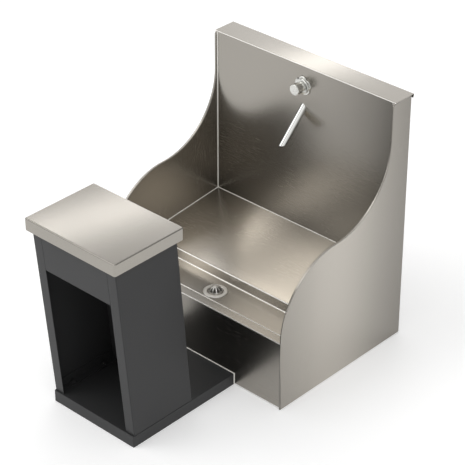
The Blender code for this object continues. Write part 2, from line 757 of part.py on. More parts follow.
def strainer_dome(radius, rise, base, steps=4):
    """Profile of an elliptical dome from its rim up to just short of its axis."""
    points = []
    for i in range(steps + 1):
        angle = math.radians(86) * i / steps
        points.append((radius * math.cos(angle), base + rise * math.sin(angle)))
    return points


def build_strainer():
    """A lift-out dome of radial ribs on a ring that rests on the step in the waste neck."""
    ribs, rib_width = 10, 0.0032
    outer, inner = 0.0236, 0.0214
    foot = TROUGH_Z - STRAINER_STEP + GAP
    base = foot + 0.0030
    rise = 0.0255
    outside = strainer_dome(outer, rise, base)
    inside = strainer_dome(inner, rise - 0.0023, base)
    profile = [(DRAIN_BORE - GAP, foot), (DRAIN_BORE - GAP, base)] + outside
    profile += inside[::-1] + [(inner, foot)]
    centre = (0, DRAIN_Y)
    strainer = piece("drain_strainer", turned_z(profile, centre, 30), "chrome",
                     closed=True, origin=(0, DRAIN_Y, foot))
    hub = turned_z([(0.0042, base + rise - 0.0040), (0.0042, base + rise + 0.0007)], centre, 16)
    combine(strainer, "UNION", "strainer_hub", [hub])
    slots = []
    for i in range(ribs):
        middle = 2 * math.pi * (i + 0.5) / ribs
        slots.append(strainer_slot(middle, math.pi / ribs, rib_width / 2, base))
    cut(strainer, "strainer_slots", slots)


def strainer_slot(middle, half_angle, half_rib, base):
    """Upright cutter between two ribs, each of which keeps the same width all along."""
    inner, outer = 0.0066, 0.0205
    outline = []
    for radius, order in ((inner, (-1, 1)), (outer, (1, 0.5, 0, -0.5, -1))):
        reach = half_angle - math.asin(half_rib / radius)
        for share in order:
            angle = middle + reach * share
            outline.append((radius * math.cos(angle), DRAIN_Y + radius * math.sin(angle)))
    return [ring_z(outline, base + 0.0012), ring_z(outline, base + 0.035)]


def build_trap():
    """Bottle trap on the waste neck: body with a side outlet, dip tube and screwed cup."""
    centre = (0, DRAIN_Y)
    build_trap_body(centre)
    dip_outer, dip_inner, dip_top, dip_foot = 0.0222, 0.0200, 0.165, 0.078
    dip = [(dip_inner, dip_top), (dip_outer, dip_top), (dip_outer, dip_foot),
           (dip_inner, dip_foot)]
    piece("trap_dip_tube", turned_z(dip, centre), "white_plastic", closed=True)
    skirt, inside, rim, base = 0.0385, 0.0348, 0.096, 0.046
    cup = [(skirt - 0.0045, base), (skirt - 0.0010, base + 0.004), (skirt, base + 0.010),
           (skirt, rim), (inside, rim), (inside, base + 0.012),
           (inside - 0.0018, base + 0.0075)]
    piece("trap_cup", turned_z(cup, centre), "white_plastic")
    run = [(0, TRAP_OUTLET_END - 0.025, WASTE_Z), (0, REAR - 0.008, WASTE_Z)]
    piece("waste_pipe", pipe(run, 0.0200, 0.0180, 24), "white_plastic", closed=True)


def build_trap_body(centre):
    top, foot, shoulder = 0.186, 0.070, 0.148
    outer, inner, neck = 0.0345, 0.0305, WASTE_NECK_RADIUS + GAP
    body = piece("trap_body", turned_z([(outer, foot), (outer, top)], centre), "white_plastic")
    stub = swept([(0, DRAIN_Y + 0.015, WASTE_Z), (0, TRAP_OUTLET_END, WASTE_Z)], 0.0240, 24)
    combine(body, "UNION", "trap_outlet", [stub])
    hollow = turned_z([(inner, foot - 0.01), (inner, shoulder), (neck, shoulder),
                       (neck, top + 0.01)], centre)
    cut(body, "trap_hollow", [hollow])
    stub_bore = [(0, DRAIN_Y + 0.02, WASTE_Z), (0, TRAP_OUTLET_END + 0.01, WASTE_Z)]
    cut(body, "trap_outlet_bore", [swept(stub_bore, 0.0204, 24)])


# Pedestal and seat ----------------------------------------------------------------------------

def build_plinth():
    """Upturned tray with flanges turned in on the floor, and the studs welded to it."""
    flange, edge = 0.025, 0.001
    outline = plinth_outline(0, FOLD)
    inside = plinth_outline(PLINTH_WALL, TIGHT_FOLD / 3)
    mouth = plinth_outline(flange, TIGHT_FOLD / 3)
    plinth = piece("base_plinth", [
        ring_z(offset(outline, edge), PLINTH_HEIGHT),
        ring_z(outline, PLINTH_HEIGHT - edge),
        ring_z(outline, 0),
        ring_z(mouth, 0),
        ring_z(mouth, PLINTH_WALL),
        ring_z(inside, PLINTH_WALL),
        ring_z(inside, PLINTH_HEIGHT - PLINTH_WALL),
    ], "powder_coat")
    seat, clear = PLINTH_REAR - PLINTH_WALL / 2, 0.002
    tip = PANEL_RECESS + SHEET + GAP + NUT_HEIGHT + clear
    studs = [drilled("Y", (x, BASE_STUD_Z), STUD_RADIUS, seat, tip) for x in BASE_STUDS_X]
    seat, tip = PLINTH_HEIGHT - PLINTH_WALL / 2, FOOT_Z + STEEL + GAP + NUT_HEIGHT + clear
    studs += [drilled("Z", spot, STUD_RADIUS, seat, tip) for spot in PEDESTAL_STUDS]
    combine(plinth, "UNION", "plinth_studs", studs)


def plinth_outline(margin, corner):
    """The plinth's plan moved inwards by a margin, with rounded front corners."""
    corners = rectangle(-PLINTH_HALF + margin, PLINTH_HALF - margin,
                        PLINTH_FRONT + margin, PLINTH_REAR - margin)
    return rounded(corners, [corner, corner, 0, 0], 3, closed=True)


def foot_stud_holes(spots):
    """Cutters through the foot angles."""
    return [drilled("Z", spot, STUD_HOLE, PLINTH_HEIGHT - 0.008, PLINTH_HEIGHT + 0.007)
            for spot in spots]


def leaning(outline, low, high):
    """An (x, y) outline at the plinth carried up along the pedestal's lean."""
    return [ring_z(outline, low, lean_at(low)), ring_z(outline, high, lean_at(high))]


def build_pedestal():
    front, rear = PEDESTAL_FRONT, PEDESTAL_FRONT + PEDESTAL_DEPTH
    rear_flange = 0.025
    for side, sign in SIDES:
        path = rounded([
            (sign * (PEDESTAL_HALF - POST_WIDTH), front), (sign * PEDESTAL_HALF, front),
            (sign * PEDESTAL_HALF, rear), (sign * (PEDESTAL_HALF - rear_flange), rear),
        ], FOLD)
        section = sheet_section(path, sign * STEEL)
        piece("pedestal_side_" + side, leaning(section, FOOT_Z, PEDESTAL_TOP), "powder_coat")
    build_header(front)
    inner = PEDESTAL_HALF - FOLD
    back_y = rear - STEEL - GAP
    outline = rectangle(-inner, inner, back_y - STEEL, back_y)
    piece("pedestal_back_panel", leaning(outline, FOOT_Z, PEDESTAL_TOP), "powder_coat")


def build_header(front):
    """Fills the front between the posts above the opening, with a stiffening turn below."""
    half = PEDESTAL_HALF - POST_WIDTH - 0.0006
    turn = 0.020

    def at(z, y):
        return y + lean_at(z)

    path = [(at(PEDESTAL_TOP, front), PEDESTAL_TOP), (at(HEADER_BOTTOM, front), HEADER_BOTTOM),
            (at(HEADER_BOTTOM, front) + turn, HEADER_BOTTOM)]
    section = sheet_section(rounded(path, FOLD), STEEL)
    piece("pedestal_header", [ring_x(section, -half), ring_x(section, half)], "powder_coat")


def build_brackets():
    """Foot angles that hold the pedestal down, and angles under its top that carry the seat."""
    face = PEDESTAL_HALF - STEEL - GAP
    foot_height, foot_width, seat_leg = 0.028, 0.022, 0.030
    foot_front, seat_front = PEDESTAL_FRONT + 0.010, SEAT_FRONT + 0.040
    foot_length, seat_length = 0.214, 0.194
    for side, sign in SIDES:
        path = [(sign * face, FOOT_Z + foot_height), (sign * face, FOOT_Z),
                (sign * (face - foot_width), FOOT_Z)]
        section = sheet_section(path, -sign * STEEL)
        foot = piece("foot_angle_" + side,
                     [ring_y(section, foot_front), ring_y(section, foot_front + foot_length)],
                     "powder_coat")
        spots = [spot for spot in PEDESTAL_STUDS if spot[0] * sign > 0]
        cut(foot, "foot_holes_" + side, foot_stud_holes(spots))
        path = [(sign * face, PEDESTAL_TOP - seat_leg), (sign * face, PEDESTAL_TOP),
                (sign * (face - seat_leg), PEDESTAL_TOP)]
        section = sheet_section(path, sign * STEEL)
        piece("seat_angle_" + side,
              [ring_y(section, seat_front), ring_y(section, seat_front + seat_length)],
              "powder_coat")


def build_seat():
    """A stainless pan with rounded edges over a board."""
    edge, corner = 0.0040, 0.0060
    top = SEAT_BOTTOM + SEAT_THICKNESS
    outline = rounded(rectangle(-SEAT_HALF, SEAT_HALF, SEAT_FRONT, SEAT_REAR), corner, 4,
                      closed=True)
    rings = []
    steps = 4
    for i in range(steps + 1):
        angle = math.pi / 2 * (1 - i / steps)
        inward = edge * (1 - math.cos(angle))
        rings.append(ring_z(offset(outline, inward), top - edge * (1 - math.sin(angle))))
    rings += [ring_z(outline, SEAT_BOTTOM), ring_z(offset(outline, SHEET), SEAT_BOTTOM),
              ring_z(offset(outline, SHEET), top - edge),
              ring_z(offset(outline, edge), top - SHEET)]
    piece("seat_top", rings, "stainless")
    inside = offset(outline, SHEET + GAP)
    piece("seat_board", [
        ring_z(inside, SEAT_BOTTOM), ring_z(inside, top - edge - GAP),
        ring_z(offset(outline, edge + 2 * GAP), top - SHEET - 2 * GAP),
    ], "board")


def build_nuts():
    """Hexagon nuts on the studs: inside the front panel, and on the foot angles."""
    bore = STUD_RADIUS + GAP
    seat = PANEL_RECESS + SHEET + GAP
    for (side, _), x in zip(SIDES, BASE_STUDS_X):
        centre = (x, BASE_STUD_Z)
        outline = hexagon(NUT_FLATS, centre)
        nut = piece("base_nut_" + side,
                    [ring_y(outline, seat), ring_y(outline, seat + NUT_HEIGHT)], "zinc")
        hole = drilled("Y", centre, bore, seat - 0.01, seat + 0.02)
        cut(nut, "base_nut_bore_" + side, [hole])
    seat = FOOT_Z + STEEL + GAP
    for number, spot in enumerate(PEDESTAL_STUDS, 1):
        outline = hexagon(NUT_FLATS, spot)
        nut = piece(f"foot_nut_{number}",
                    [ring_z(outline, seat), ring_z(outline, seat + NUT_HEIGHT)], "zinc")
        cut(nut, f"foot_nut_bore_{number}", [drilled("Z", spot, bore, seat - 0.01, seat + 0.02)])


def main():
    clear_scene()
    make_datum()
    for side, sign in SIDES:
        build_cheek(side, sign)
    build_splashback()
    build_top_cap()
    build_wash_deck()
    build_front_panel()
    build_frame()
    build_rear_panel()
    build_rear_screws()
    build_tap()
    build_valve_chamber()
    build_push_button()
    build_valve_spring()
    build_spout()
    build_spout_union()
    build_supply()
    build_waste()
    build_strainer()
    build_trap()
    build_plinth()
    build_pedestal()
    build_brackets()
    build_seat()
    build_nuts()


main()
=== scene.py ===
"""Looks for the sit-down wash station: materials, seam details, studio and camera, built round
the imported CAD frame. Lengths are in metres, +X to the right, +Y to the splashback, +Z up."""

import math

import bmesh
import bpy
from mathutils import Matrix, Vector


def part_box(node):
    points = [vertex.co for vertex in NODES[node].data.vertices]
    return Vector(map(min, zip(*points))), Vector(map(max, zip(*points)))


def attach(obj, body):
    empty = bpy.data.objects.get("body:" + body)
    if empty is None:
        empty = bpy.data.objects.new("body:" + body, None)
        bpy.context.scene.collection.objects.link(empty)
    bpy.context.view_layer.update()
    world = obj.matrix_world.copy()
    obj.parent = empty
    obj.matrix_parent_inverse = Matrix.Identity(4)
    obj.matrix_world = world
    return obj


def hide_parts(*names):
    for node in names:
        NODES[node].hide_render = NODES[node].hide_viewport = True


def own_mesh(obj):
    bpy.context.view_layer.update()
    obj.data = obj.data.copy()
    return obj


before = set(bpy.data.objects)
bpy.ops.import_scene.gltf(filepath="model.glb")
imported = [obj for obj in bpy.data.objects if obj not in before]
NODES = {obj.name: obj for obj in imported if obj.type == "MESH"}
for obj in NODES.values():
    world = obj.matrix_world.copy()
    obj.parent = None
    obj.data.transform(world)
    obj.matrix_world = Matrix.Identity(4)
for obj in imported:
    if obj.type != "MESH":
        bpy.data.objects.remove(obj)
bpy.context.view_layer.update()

# Camera -----------------------------------------------------------------------------------------

CAMERA_TARGET = Vector((0.1611, -0.0428, 0.5263))
CAMERA_AZIMUTH = 42.956         # degrees round from the front, towards the right
CAMERA_ELEVATION = 31.693       # degrees above level
CAMERA_DISTANCE = 5.2775
CAMERA_LENS = 145.6             # millimetres
SENSOR_WIDTH = 36.0             # millimetres

# Finishes ---------------------------------------------------------------------------------------

STEEL_TINT = (0.350, 0.330, 0.298)
# Painted light: the deck and the cheeks' inner liners are lighter copies of the same sheet steel.
DECK_LIT_TINT = (0.600, 0.565, 0.510)
LINER_LIT_TINT = (0.450, 0.420, 0.375)
FOLD_HIGHLIGHT_TINT = (0.86, 0.84, 0.80)  # painted highlight: the folds are a much lighter copy of the sheet steel
COAT_TINT = (0.036, 0.0363, 0.0370)
STEEL_ROUGHNESS = 0.26
TOP_ROUGHNESS = 0.18            # the seat and the cap are finer than the rest
FOLD_ROUGHNESS = 0.42
FRONT_SHADE_SHARE = 0.90              # painted shade: the front panel's steel is this share as bright as the rest
ALONG_GRAIN = 25                # noise cells in a metre along the brushing
ACROSS_GRAIN = 2600             # and across it
SCRATCH_CONTRAST = 0.03         # how much scratches lighten and darken the tint
SCRATCH_SPREAD = 0.015          # how much they change the roughness
CLOUD_SPREAD = 0.01             # how much the cloudy variation changes it
SCRATCH_STRENGTH, SCRATCH_DEPTH = 0.0007, 0.0002  # their bump
NOISE_LOW, NOISE_HIGH = 0.25, 0.75  # most of a noise texture's values lie between these

# Broad bands of painted reflection and shade in the steels' colour: an axis, then places in metres
# and the brightness there.
DECK_PAINTED_LIGHT = [
    ("X", [(-0.35, 0.44), (-0.14, 1.60), (-0.02, 0.50), (0.10, 0.92), (0.22, 1.24), (0.35, 1.30)]),
    ("Y", [(-0.04, 0.76), (0.04, 0.86), (0.09, 0.72), (0.1155, 0.60), (0.119, 1.50), (0.15, 1.22),
           (0.20, 1.12), (0.33, 1.10), (0.43, 0.50)]),
]
LINER_PAINTED_LIGHT = [("Y", [(-0.04, 0.9), (0.10, 1.15), (0.20, 1.30), (0.33, 1.00), (0.47, 0.45)])]
WALL_PAINTED_LIGHT = [("X", [(-0.35, 0.95), (-0.12, 0.98), (0.08, 0.95), (0.22, 0.74), (0.35, 0.62)])]
SIDE_PAINTED_LIGHT = [
    ("Y", [(-0.05, 0.92), (0.08, 1.30), (0.15, 1.42), (0.24, 1.45), (0.36, 1.08), (0.50, 0.66)]),
]

# Studio light -----------------------------------------------------------------------------------

FLOOR_GLOW = 0.27               # keeps the floor pale and even round the object
ROOM_LIGHT = 0.12
SOFT_BOXES = [
    # bearing, height, spread in degrees, strength
    (225, 6, 14, 1.95),
    (206, 34, 13, 0.9),
    (314, 48, 13, 3.3),
    (50, 50, 12, 1.9),
    (95, 22, 16, 1.2),
    (350, 10, 14, 2.4),
    (58, 10, 12, 0.9),
    (140, 36, 12, 0.4),
    (180, 86, 20, 0.9),
]
STRIP_START = Vector((-1.095, -0.35, 1.35))
STRIP_END = Vector((-0.590, 1.55, 1.35))
STRIP_WIDTH = 0.14
STRIP_RADIANCE = 3.1

FLOOR_HALF_WIDTH = 14.0
FLOOR_Z = -0.0006               # just below the feet, so that no faces coincide

# Small sizes ------------------------------------------------------------------------------------

MERGE_DISTANCE = 2e-5           # vertices closer than this are one
FLAT_ANGLE = math.radians(1.0)  # faces that turn less than this are one flat face
EDGE_ANGLE = math.radians(32)   # sharper edges than this are eased
UPRIGHT = 0.999                 # a normal's share along an axis when the face is square to it
FOLD_FACET_WIDTH = 0.0030       # a fold's facets are narrower than this
FOLD_FACET_LENGTH = 0.040       # and longer than this
FOLD_FACET_SLOPE = 0.995        # and no axis has more than this share of its normal
CHEEK_ROLL = 0.0034             # radius of the rolled edge of the cabinet's sides

BEAD_STEPS = 6                  # facets across a bead
BEAD_ROOT = 0.0002              # how far a bead reaches into the corner
BEAD_ANGLE = math.radians(50)   # sharper edges of a bead aren't smoothed
CORNER_BEAD_RADIUS = 0.0026     # pale sealant in the corners of the wash space, which also paints their highlight lines
PLINTH_BEAD_RADIUS = 0.0022     # pale sealant where the plinth meets the cabinet, which also paints a highlight line there
FOLD_LINE_RADIUS = 0.0013       # lighter bead along an outward fold, a painted highlight line
WALL_BEAD_DROP = 0.0012         # the wall's sealant ends this far below the splashback's top
RIM_SETBACK = 0.003             # the deck's sealant ends this far behind the rim's front
RIM_LINE_DROP = 0.0004          # the front rim's line lies this much below the rim
PLINTH_BEAD_FOOT = 0.0005       # height where the plinth's sealant starts

SPRING_WIRE = 0.0008            # radius of the valve spring's wire
SPRING_TURNS = 6
SPRING_CLOSED = 0.75            # turns that lie flat at each end
SPRING_STEPS = 20               # rings in each turn
SPRING_SIDES = 8

# Folds of the wash deck's sheet, seen from the side, and the plinth's top.
DECK_WALL_Z = 0.2712            # the deck where it meets the splashback
STEP_Y, STEP_Z = 0.11425, 0.2410
TROUGH_Y, TROUGH_Z = -0.00775, 0.2085
RIM_Z = 0.2290
DECK_SLOPE = 0.0956             # how much the deck drops for each metre forward
PLINTH_TOP = 0.0380


# Shader helpers ---------------------------------------------------------------------------------

class Shader:
    """A material with one Principled shader, and short ways to add and join nodes."""

    def __init__(self, name):
        self.material = bpy.data.materials.new(name)
        self.material.use_nodes = True
        self.tree = self.material.node_tree
        self.bsdf = self.tree.nodes["Principled BSDF"]

    def set(self, **values):
        """Sets the Principled shader's inputs, with _ for each space in their names."""
        for name, value in values.items():
            socket = self.bsdf.inputs[name.replace("_", " ")]
            socket.default_value = (*value, 1) if isinstance(value, tuple) else value
        return self

    def node(self, kind, **properties):
        node = self.tree.nodes.new(kind)
        for name, value in properties.items():
            setattr(node, name, value)
        return node

    def join(self, source, target):
        self.tree.links.new(source, target)

    def coordinates(self, scale):
        """Object coordinates stretched by a scale for each axis."""
        source = self.node("ShaderNodeTexCoord")
        mapping = self.node("ShaderNodeMapping")
        mapping.inputs["Scale"].default_value = scale
        self.join(source.outputs["Object"], mapping.inputs["Vector"])
        return mapping.outputs["Vector"]

    def noise(self, scale, detail=3.0, roughness=0.5, stretch=(1, 1, 1)):
        texture = self.node("ShaderNodeTexNoise")
        texture.inputs["Scale"].default_value = scale
        texture.inputs["Detail"].default_value = detail
        texture.inputs["Roughness"].default_value = roughness
        self.join(self.coordinates(stretch), texture.inputs["Vector"])
        return texture.outputs["Fac"]

    def spread(self, value, low, high):
        """Maps a noise value to a range."""
        mapped = self.node("ShaderNodeMapRange")
        mapped.inputs["From Min"].default_value = NOISE_LOW
        mapped.inputs["From Max"].default_value = NOISE_HIGH
        mapped.inputs["To Min"].default_value = low
        mapped.inputs["To Max"].default_value = high
        self.join(value, mapped.inputs["Value"])
        return mapped.outputs["Result"]

    def tint(self, value, dark, light):
        """Maps a noise value to colours from dark to light."""
        ramp = self.node("ShaderNodeValToRGB")
        ramp.color_ramp.elements[0].position = NOISE_LOW
        ramp.color_ramp.elements[0].color = (*dark, 1)
        ramp.color_ramp.elements[1].position = NOISE_HIGH
        ramp.color_ramp.elements[1].color = (*light, 1)
        self.join(value, ramp.inputs["Fac"])
        return ramp.outputs["Color"]

    def paint_light_bands(self, colour, axis, stops):
        """Multiplies a colour by a smooth profile of (place in metres, factor) along an axis.

        The profile paints broad bands of reflection and shade. A ramp can't go past 1, so it holds
        shares of the highest factor."""
        split = self.node("ShaderNodeSeparateXYZ")
        self.join(self.node("ShaderNodeTexCoord").outputs["Object"], split.inputs["Vector"])
        first, last = stops[0][0], stops[-1][0]
        place = self.node("ShaderNodeMapRange")
        place.inputs["From Min"].default_value = first
        place.inputs["From Max"].default_value = last
        self.join(split.outputs[axis], place.inputs["Value"])
        ramp = self.node("ShaderNodeValToRGB")
        ramp.color_ramp.interpolation = "B_SPLINE"
        elements = ramp.color_ramp.elements
        while len(elements) < len(stops):
            elements.new(0.5)
        peak = max(factor for _, factor in stops)
        for element, (where, factor) in zip(elements, stops):
            element.position = (where - first) / (last - first)
            element.color = (factor / peak, factor / peak, factor / peak, 1)
        self.join(place.outputs["Result"], ramp.inputs["Fac"])
        product = self.node("ShaderNodeMix", data_type="RGBA", blend_type="MULTIPLY")
        product.inputs["Factor"].default_value = 1.0
        self.join(colour, product.inputs["A"])
        gain = self.node("ShaderNodeVectorMath", operation="SCALE")
        gain.inputs["Scale"].default_value = peak
        self.join(ramp.outputs["Color"], gain.inputs[0])
        self.join(gain.outputs["Vector"], product.inputs["B"])
        return product.outputs["Result"]

    def bump(self, height, strength, distance):
        bump = self.node("ShaderNodeBump")
        bump.inputs["Strength"].default_value = strength
        bump.inputs["Distance"].default_value = distance
        self.join(height, bump.inputs["Height"])
        self.join(bump.outputs["Normal"], self.bsdf.inputs["Normal"])


def scaled(colour, factor):
    return tuple(channel * factor for channel in colour)


def brushed_steel(name, grain, tint=STEEL_TINT, roughness=STEEL_ROUGHNESS, painted_light=()):
    """Satin stainless: fine scratches along the grain axis over faint cloudy variation.

    The last argument lists broad bands of painted reflection and shade across it, an axis and a
    profile for each."""
    stretch = tuple(ALONG_GRAIN if axis == grain else ACROSS_GRAIN for axis in "XYZ")
    steel = Shader(name).set(Metallic=1.0, Roughness=roughness, Base_Color=tint)
    scratches = steel.noise(1.0, detail=2.0, stretch=stretch)
    clouds = steel.noise(5.0, detail=2.0)
    mix = steel.node("ShaderNodeMath", operation="ADD")
    steel.join(steel.spread(scratches, roughness - SCRATCH_SPREAD, roughness + SCRATCH_SPREAD),
               mix.inputs[0])
    steel.join(steel.spread(clouds, -CLOUD_SPREAD, CLOUD_SPREAD), mix.inputs[1])
    steel.join(mix.outputs[0], steel.bsdf.inputs["Roughness"])
    colour = steel.tint(scratches, scaled(tint, 1 - SCRATCH_CONTRAST),
                        scaled(tint, 1 + SCRATCH_CONTRAST))
    for axis, stops in painted_light:
        colour = steel.paint_light_bands(colour, axis, stops)
    steel.join(colour, steel.bsdf.inputs["Base Color"])
    steel.bump(scratches, SCRATCH_STRENGTH, SCRATCH_DEPTH)
    return steel.material


def plated_metal(name, roughness, tint):
    metal = Shader(name).set(Metallic=1.0, Roughness=roughness, Base_Color=tint)
    clouds = metal.noise(60.0, detail=3.0)
    metal.join(metal.spread(clouds, roughness - 0.02, roughness + 0.03),
               metal.bsdf.inputs["Roughness"])
    return metal.material


def turned_metal(name, tint, roughness):
    metal = Shader(name).set(Metallic=1.0, Roughness=roughness, Base_Color=tint)
    clouds = metal.noise(90.0, detail=4.0)
    metal.join(metal.spread(clouds, roughness - 0.06, roughness + 0.08),
               metal.bsdf.inputs["Roughness"])
    metal.join(metal.tint(clouds, scaled(tint, 0.85), scaled(tint, 1.08)),
               metal.bsdf.inputs["Base Color"])
    return metal.material


def powder_coat(name):
    """Dark paint with the fine orange peel of a baked powder."""
    coat = Shader(name).set(Base_Color=COAT_TINT, Roughness=0.36, Specular_IOR_Level=0.20)
    peel = coat.noise(900.0, detail=2.0)
    clouds = coat.noise(7.0, detail=2.0)
    coat.join(coat.spread(clouds, 0.33, 0.39), coat.bsdf.inputs["Roughness"])
    coat.join(coat.tint(peel, scaled(COAT_TINT, 0.9), scaled(COAT_TINT, 1.1)),
              coat.bsdf.inputs["Base Color"])
    coat.bump(peel, 0.08, 0.0002)
    return coat.material


def moulded(name, tint, roughness, grain=500.0):
    plastic = Shader(name).set(Base_Color=tint, Roughness=roughness)
    fine = plastic.noise(grain, detail=2.0)
    plastic.join(plastic.tint(fine, scaled(tint, 0.94), scaled(tint, 1.03)),
                 plastic.bsdf.inputs["Base Color"])
    plastic.join(plastic.spread(fine, roughness - 0.04, roughness + 0.06),
                 plastic.bsdf.inputs["Roughness"])
    plastic.bump(fine, 0.05, 0.0002)
    return plastic.material


def board(name):
    """Fibreboard: fine chips, a little darker in patches."""
    wood = Shader(name).set(Roughness=0.7)
    chips = wood.noise(180.0, detail=5.0, roughness=0.7)
    wood.join(wood.tint(chips, (0.27, 0.19, 0.11), (0.52, 0.40, 0.26)),
              wood.bsdf.inputs["Base Color"])
    wood.bump(chips, 0.3, 0.0006)
    return wood.material


MATERIALS = {
    "steel_x": brushed_steel("steel_brushed_across", "X"),
    "steel_z": brushed_steel("steel_brushed_upright", "Z"),
    "steel_top": brushed_steel("steel_brushed_tops", "X", roughness=TOP_ROUGHNESS),
    # The fold, deck and liner steels are lighter copies and the front steel a darker copy of the
    # same sheet: painted light and shade. The bands paint broad reflections and shade.
    "fold": brushed_steel("steel_fold_highlight", "X", FOLD_HIGHLIGHT_TINT, FOLD_ROUGHNESS),
    "steel_deck": brushed_steel("steel_brushed_deck", "X", DECK_LIT_TINT, painted_light=DECK_PAINTED_LIGHT),
    "steel_liner": brushed_steel("steel_brushed_liner", "Z", LINER_LIT_TINT, painted_light=LINER_PAINTED_LIGHT),
    "steel_wall": brushed_steel("steel_brushed_wall", "X", painted_light=WALL_PAINTED_LIGHT),
    "steel_front": brushed_steel("steel_brushed_front", "X", scaled(STEEL_TINT, FRONT_SHADE_SHARE)),
    "steel_side": brushed_steel("steel_brushed_sides", "Z", painted_light=SIDE_PAINTED_LIGHT),
    "chrome": plated_metal("chrome", 0.07, (0.60, 0.60, 0.58)),
    "chrome_satin": plated_metal("chrome_satin", 0.27, (0.66, 0.66, 0.63)),
    "drain": plated_metal("drain_steel", 0.40, (0.72, 0.70, 0.66)),
    "brass": turned_metal("brass", (0.62, 0.44, 0.20), 0.32),
    "zinc": turned_metal("zinc_plate", (0.52, 0.53, 0.54), 0.38),
    "coat": powder_coat("powder_coat"),
    "rubber": moulded("rubber", (0.025, 0.025, 0.025), 0.75),
    "plastic": moulded("white_plastic", (0.72, 0.72, 0.69), 0.42),
    "lever": moulded("lever_coating", (0.03, 0.10, 0.36), 0.35, 200.0),
    "board": board("fibreboard"),
    "sealant_and_highlight": moulded("sealant_and_highlight", (0.88, 0.86, 0.81), 0.45, 150.0),
}

NODE_MATERIALS = {
    "steel_x": ["back_panel", "wash_deck", "front_panel", "deck_channel"],
    "steel_top": ["top_cap", "seat_top"],
    "steel_z": ["side_panel_left", "side_panel_right", "side_liner_left", "side_liner_right",
                "rear_upright_left", "rear_upright_right", "rear_access_panel"],
    "chrome": ["spout_tube"],
    "chrome_satin": ["valve_collar", "valve_body", "push_button"],
    "drain": ["waste_body", "drain_strainer"],
    "brass": ["valve_locknut", "valve_chamber", "spout_union_nut", "supply_pipe_upper",
              "supply_pipe_lower", "isolating_valve", "inlet_connector"],
    "zinc": ["bottom_rail_left", "bottom_rail_right", "rear_bottom_rail", "valve_spring",
             "lever_nut", "base_nut_left", "base_nut_right"]
            + [f"rear_panel_screw_{n}" for n in range(1, 7)],
    "coat": ["base_plinth", "pedestal_side_left", "pedestal_side_right", "pedestal_header",
             "pedestal_back_panel", "foot_angle_left", "foot_angle_right",
             "seat_angle_left", "seat_angle_right"] + [f"foot_nut_{n}" for n in range(1, 5)],
    "rubber": ["waste_gasket"],
    "plastic": ["waste_locknut", "trap_body", "trap_dip_tube", "trap_cup", "waste_pipe"],
    "lever": ["isolating_lever"],
    "board": ["seat_board"],
}

for key, names in NODE_MATERIALS.items():
    for name in names:
        for slot in NODES[name].material_slots:
            slot.material = MATERIALS[key]


# Finished pieces over the CAD nodes -------------------------------------------------------------


def new_piece(name, shape, *keys):
    """An object made from a bmesh, which is freed, with a material for each key."""
    mesh = bpy.data.meshes.new(name)
    shape.to_mesh(mesh)
    shape.free()
    for key in keys:
        mesh.materials.append(MATERIALS[key])
    piece = bpy.data.objects.new(name, mesh)
    bpy.context.scene.collection.objects.link(piece)
    return piece


def keep_faces_flat(piece):
    """Shades by the larger faces, so that only rounded edges look round."""
    normals = piece.modifiers.new("flat_faces", "WEIGHTED_NORMAL")
    normals.keep_sharp = False


def welded_copy(name):
    """A CAD node's shape with its vertices joined and its flat faces whole."""
    shape = bmesh.new()
    shape.from_mesh(NODES[name].data)
    bmesh.ops.remove_doubles(shape, verts=shape.verts, dist=MERGE_DISTANCE)
    bmesh.ops.dissolve_limit(shape, angle_limit=FLAT_ANGLE, verts=shape.verts, edges=shape.edges)
    return shape


def is_fold_facet(face):
    """True for the long narrow facets that a fold is made of."""
    longest = max(edge.calc_length() for edge in face.edges)
    narrow = face.calc_area() / longest < FOLD_FACET_WIDTH
    sloping = max(abs(component) for component in face.normal) < FOLD_FACET_SLOPE
    return longest > FOLD_FACET_LENGTH and narrow and sloping


def finish_node(name, body, key, bevel, fold_key=None):
    """Replaces a CAD node with the same shape with eased edges and smooth folds."""
    shape = welded_copy(name)
    for face in shape.faces:
        face.smooth = True
        # fold facets get the lighter fold steel, a painted highlight along each fold
        if fold_key and is_fold_facet(face):
            face.material_index = 1
    keys = (key, fold_key) if fold_key else (key,)
    finished = new_piece(name + "_finished", shape, *keys)
    ease = finished.modifiers.new("eased_edges", "BEVEL")
    ease.width = bevel
    ease.segments = 2
    ease.limit_method = "ANGLE"
    ease.angle_limit = EDGE_ANGLE
    ease.use_clamp_overlap = True
    keep_faces_flat(finished)
    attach(finished, body)
    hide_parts(name)


FINISHED = [
    # node, body, material, eased edge, fold material
    ("wash_deck", "cabinet", "steel_deck", 0.0003, "fold"),
    ("front_panel", "cabinet", "steel_front", 0.0003, "fold"),
    ("back_panel", "cabinet", "steel_wall", 0.0003),
    ("top_cap", "cabinet", "steel_top", 0.0003),
    ("seat_top", "cabinet", "steel_top", 0.0003),
    ("base_plinth", "cabinet", "coat", 0.0004),
    ("pedestal_side_left", "cabinet", "coat", 0.0004),
    ("pedestal_side_right", "cabinet", "coat", 0.0004),
    ("pedestal_header", "cabinet", "coat", 0.0004),
    ("valve_collar", "cabinet", "chrome_satin", 0.0004),
    ("valve_body", "cabinet", "chrome_satin", 0.0004),
    ("push_button", "push_button", "chrome_satin", 0.0005),
    ("spout_tube", "cabinet", "chrome", 0.0002),
    ("waste_body", "cabinet", "drain", 0.0003),
    ("drain_strainer", "drain_strainer", "drain", 0.0002),
]

for row in FINISHED:
    finish_node(*row)


def side_outline(panel, outside):
    """The (y, z) corners of a side panel's outer face, which lies at x = outside."""
    shape = welded_copy(panel)
    faces = [face for face in shape.faces
             if abs(face.normal.x) > UPRIGHT
             and all(abs(vert.co.x - outside) < MERGE_DISTANCE for vert in face.verts)]
    outer = max(faces, key=lambda face: face.calc_area())
    outline = [(vert.co.y, vert.co.z) for vert in outer.verts]
    shape.free()
    return outline


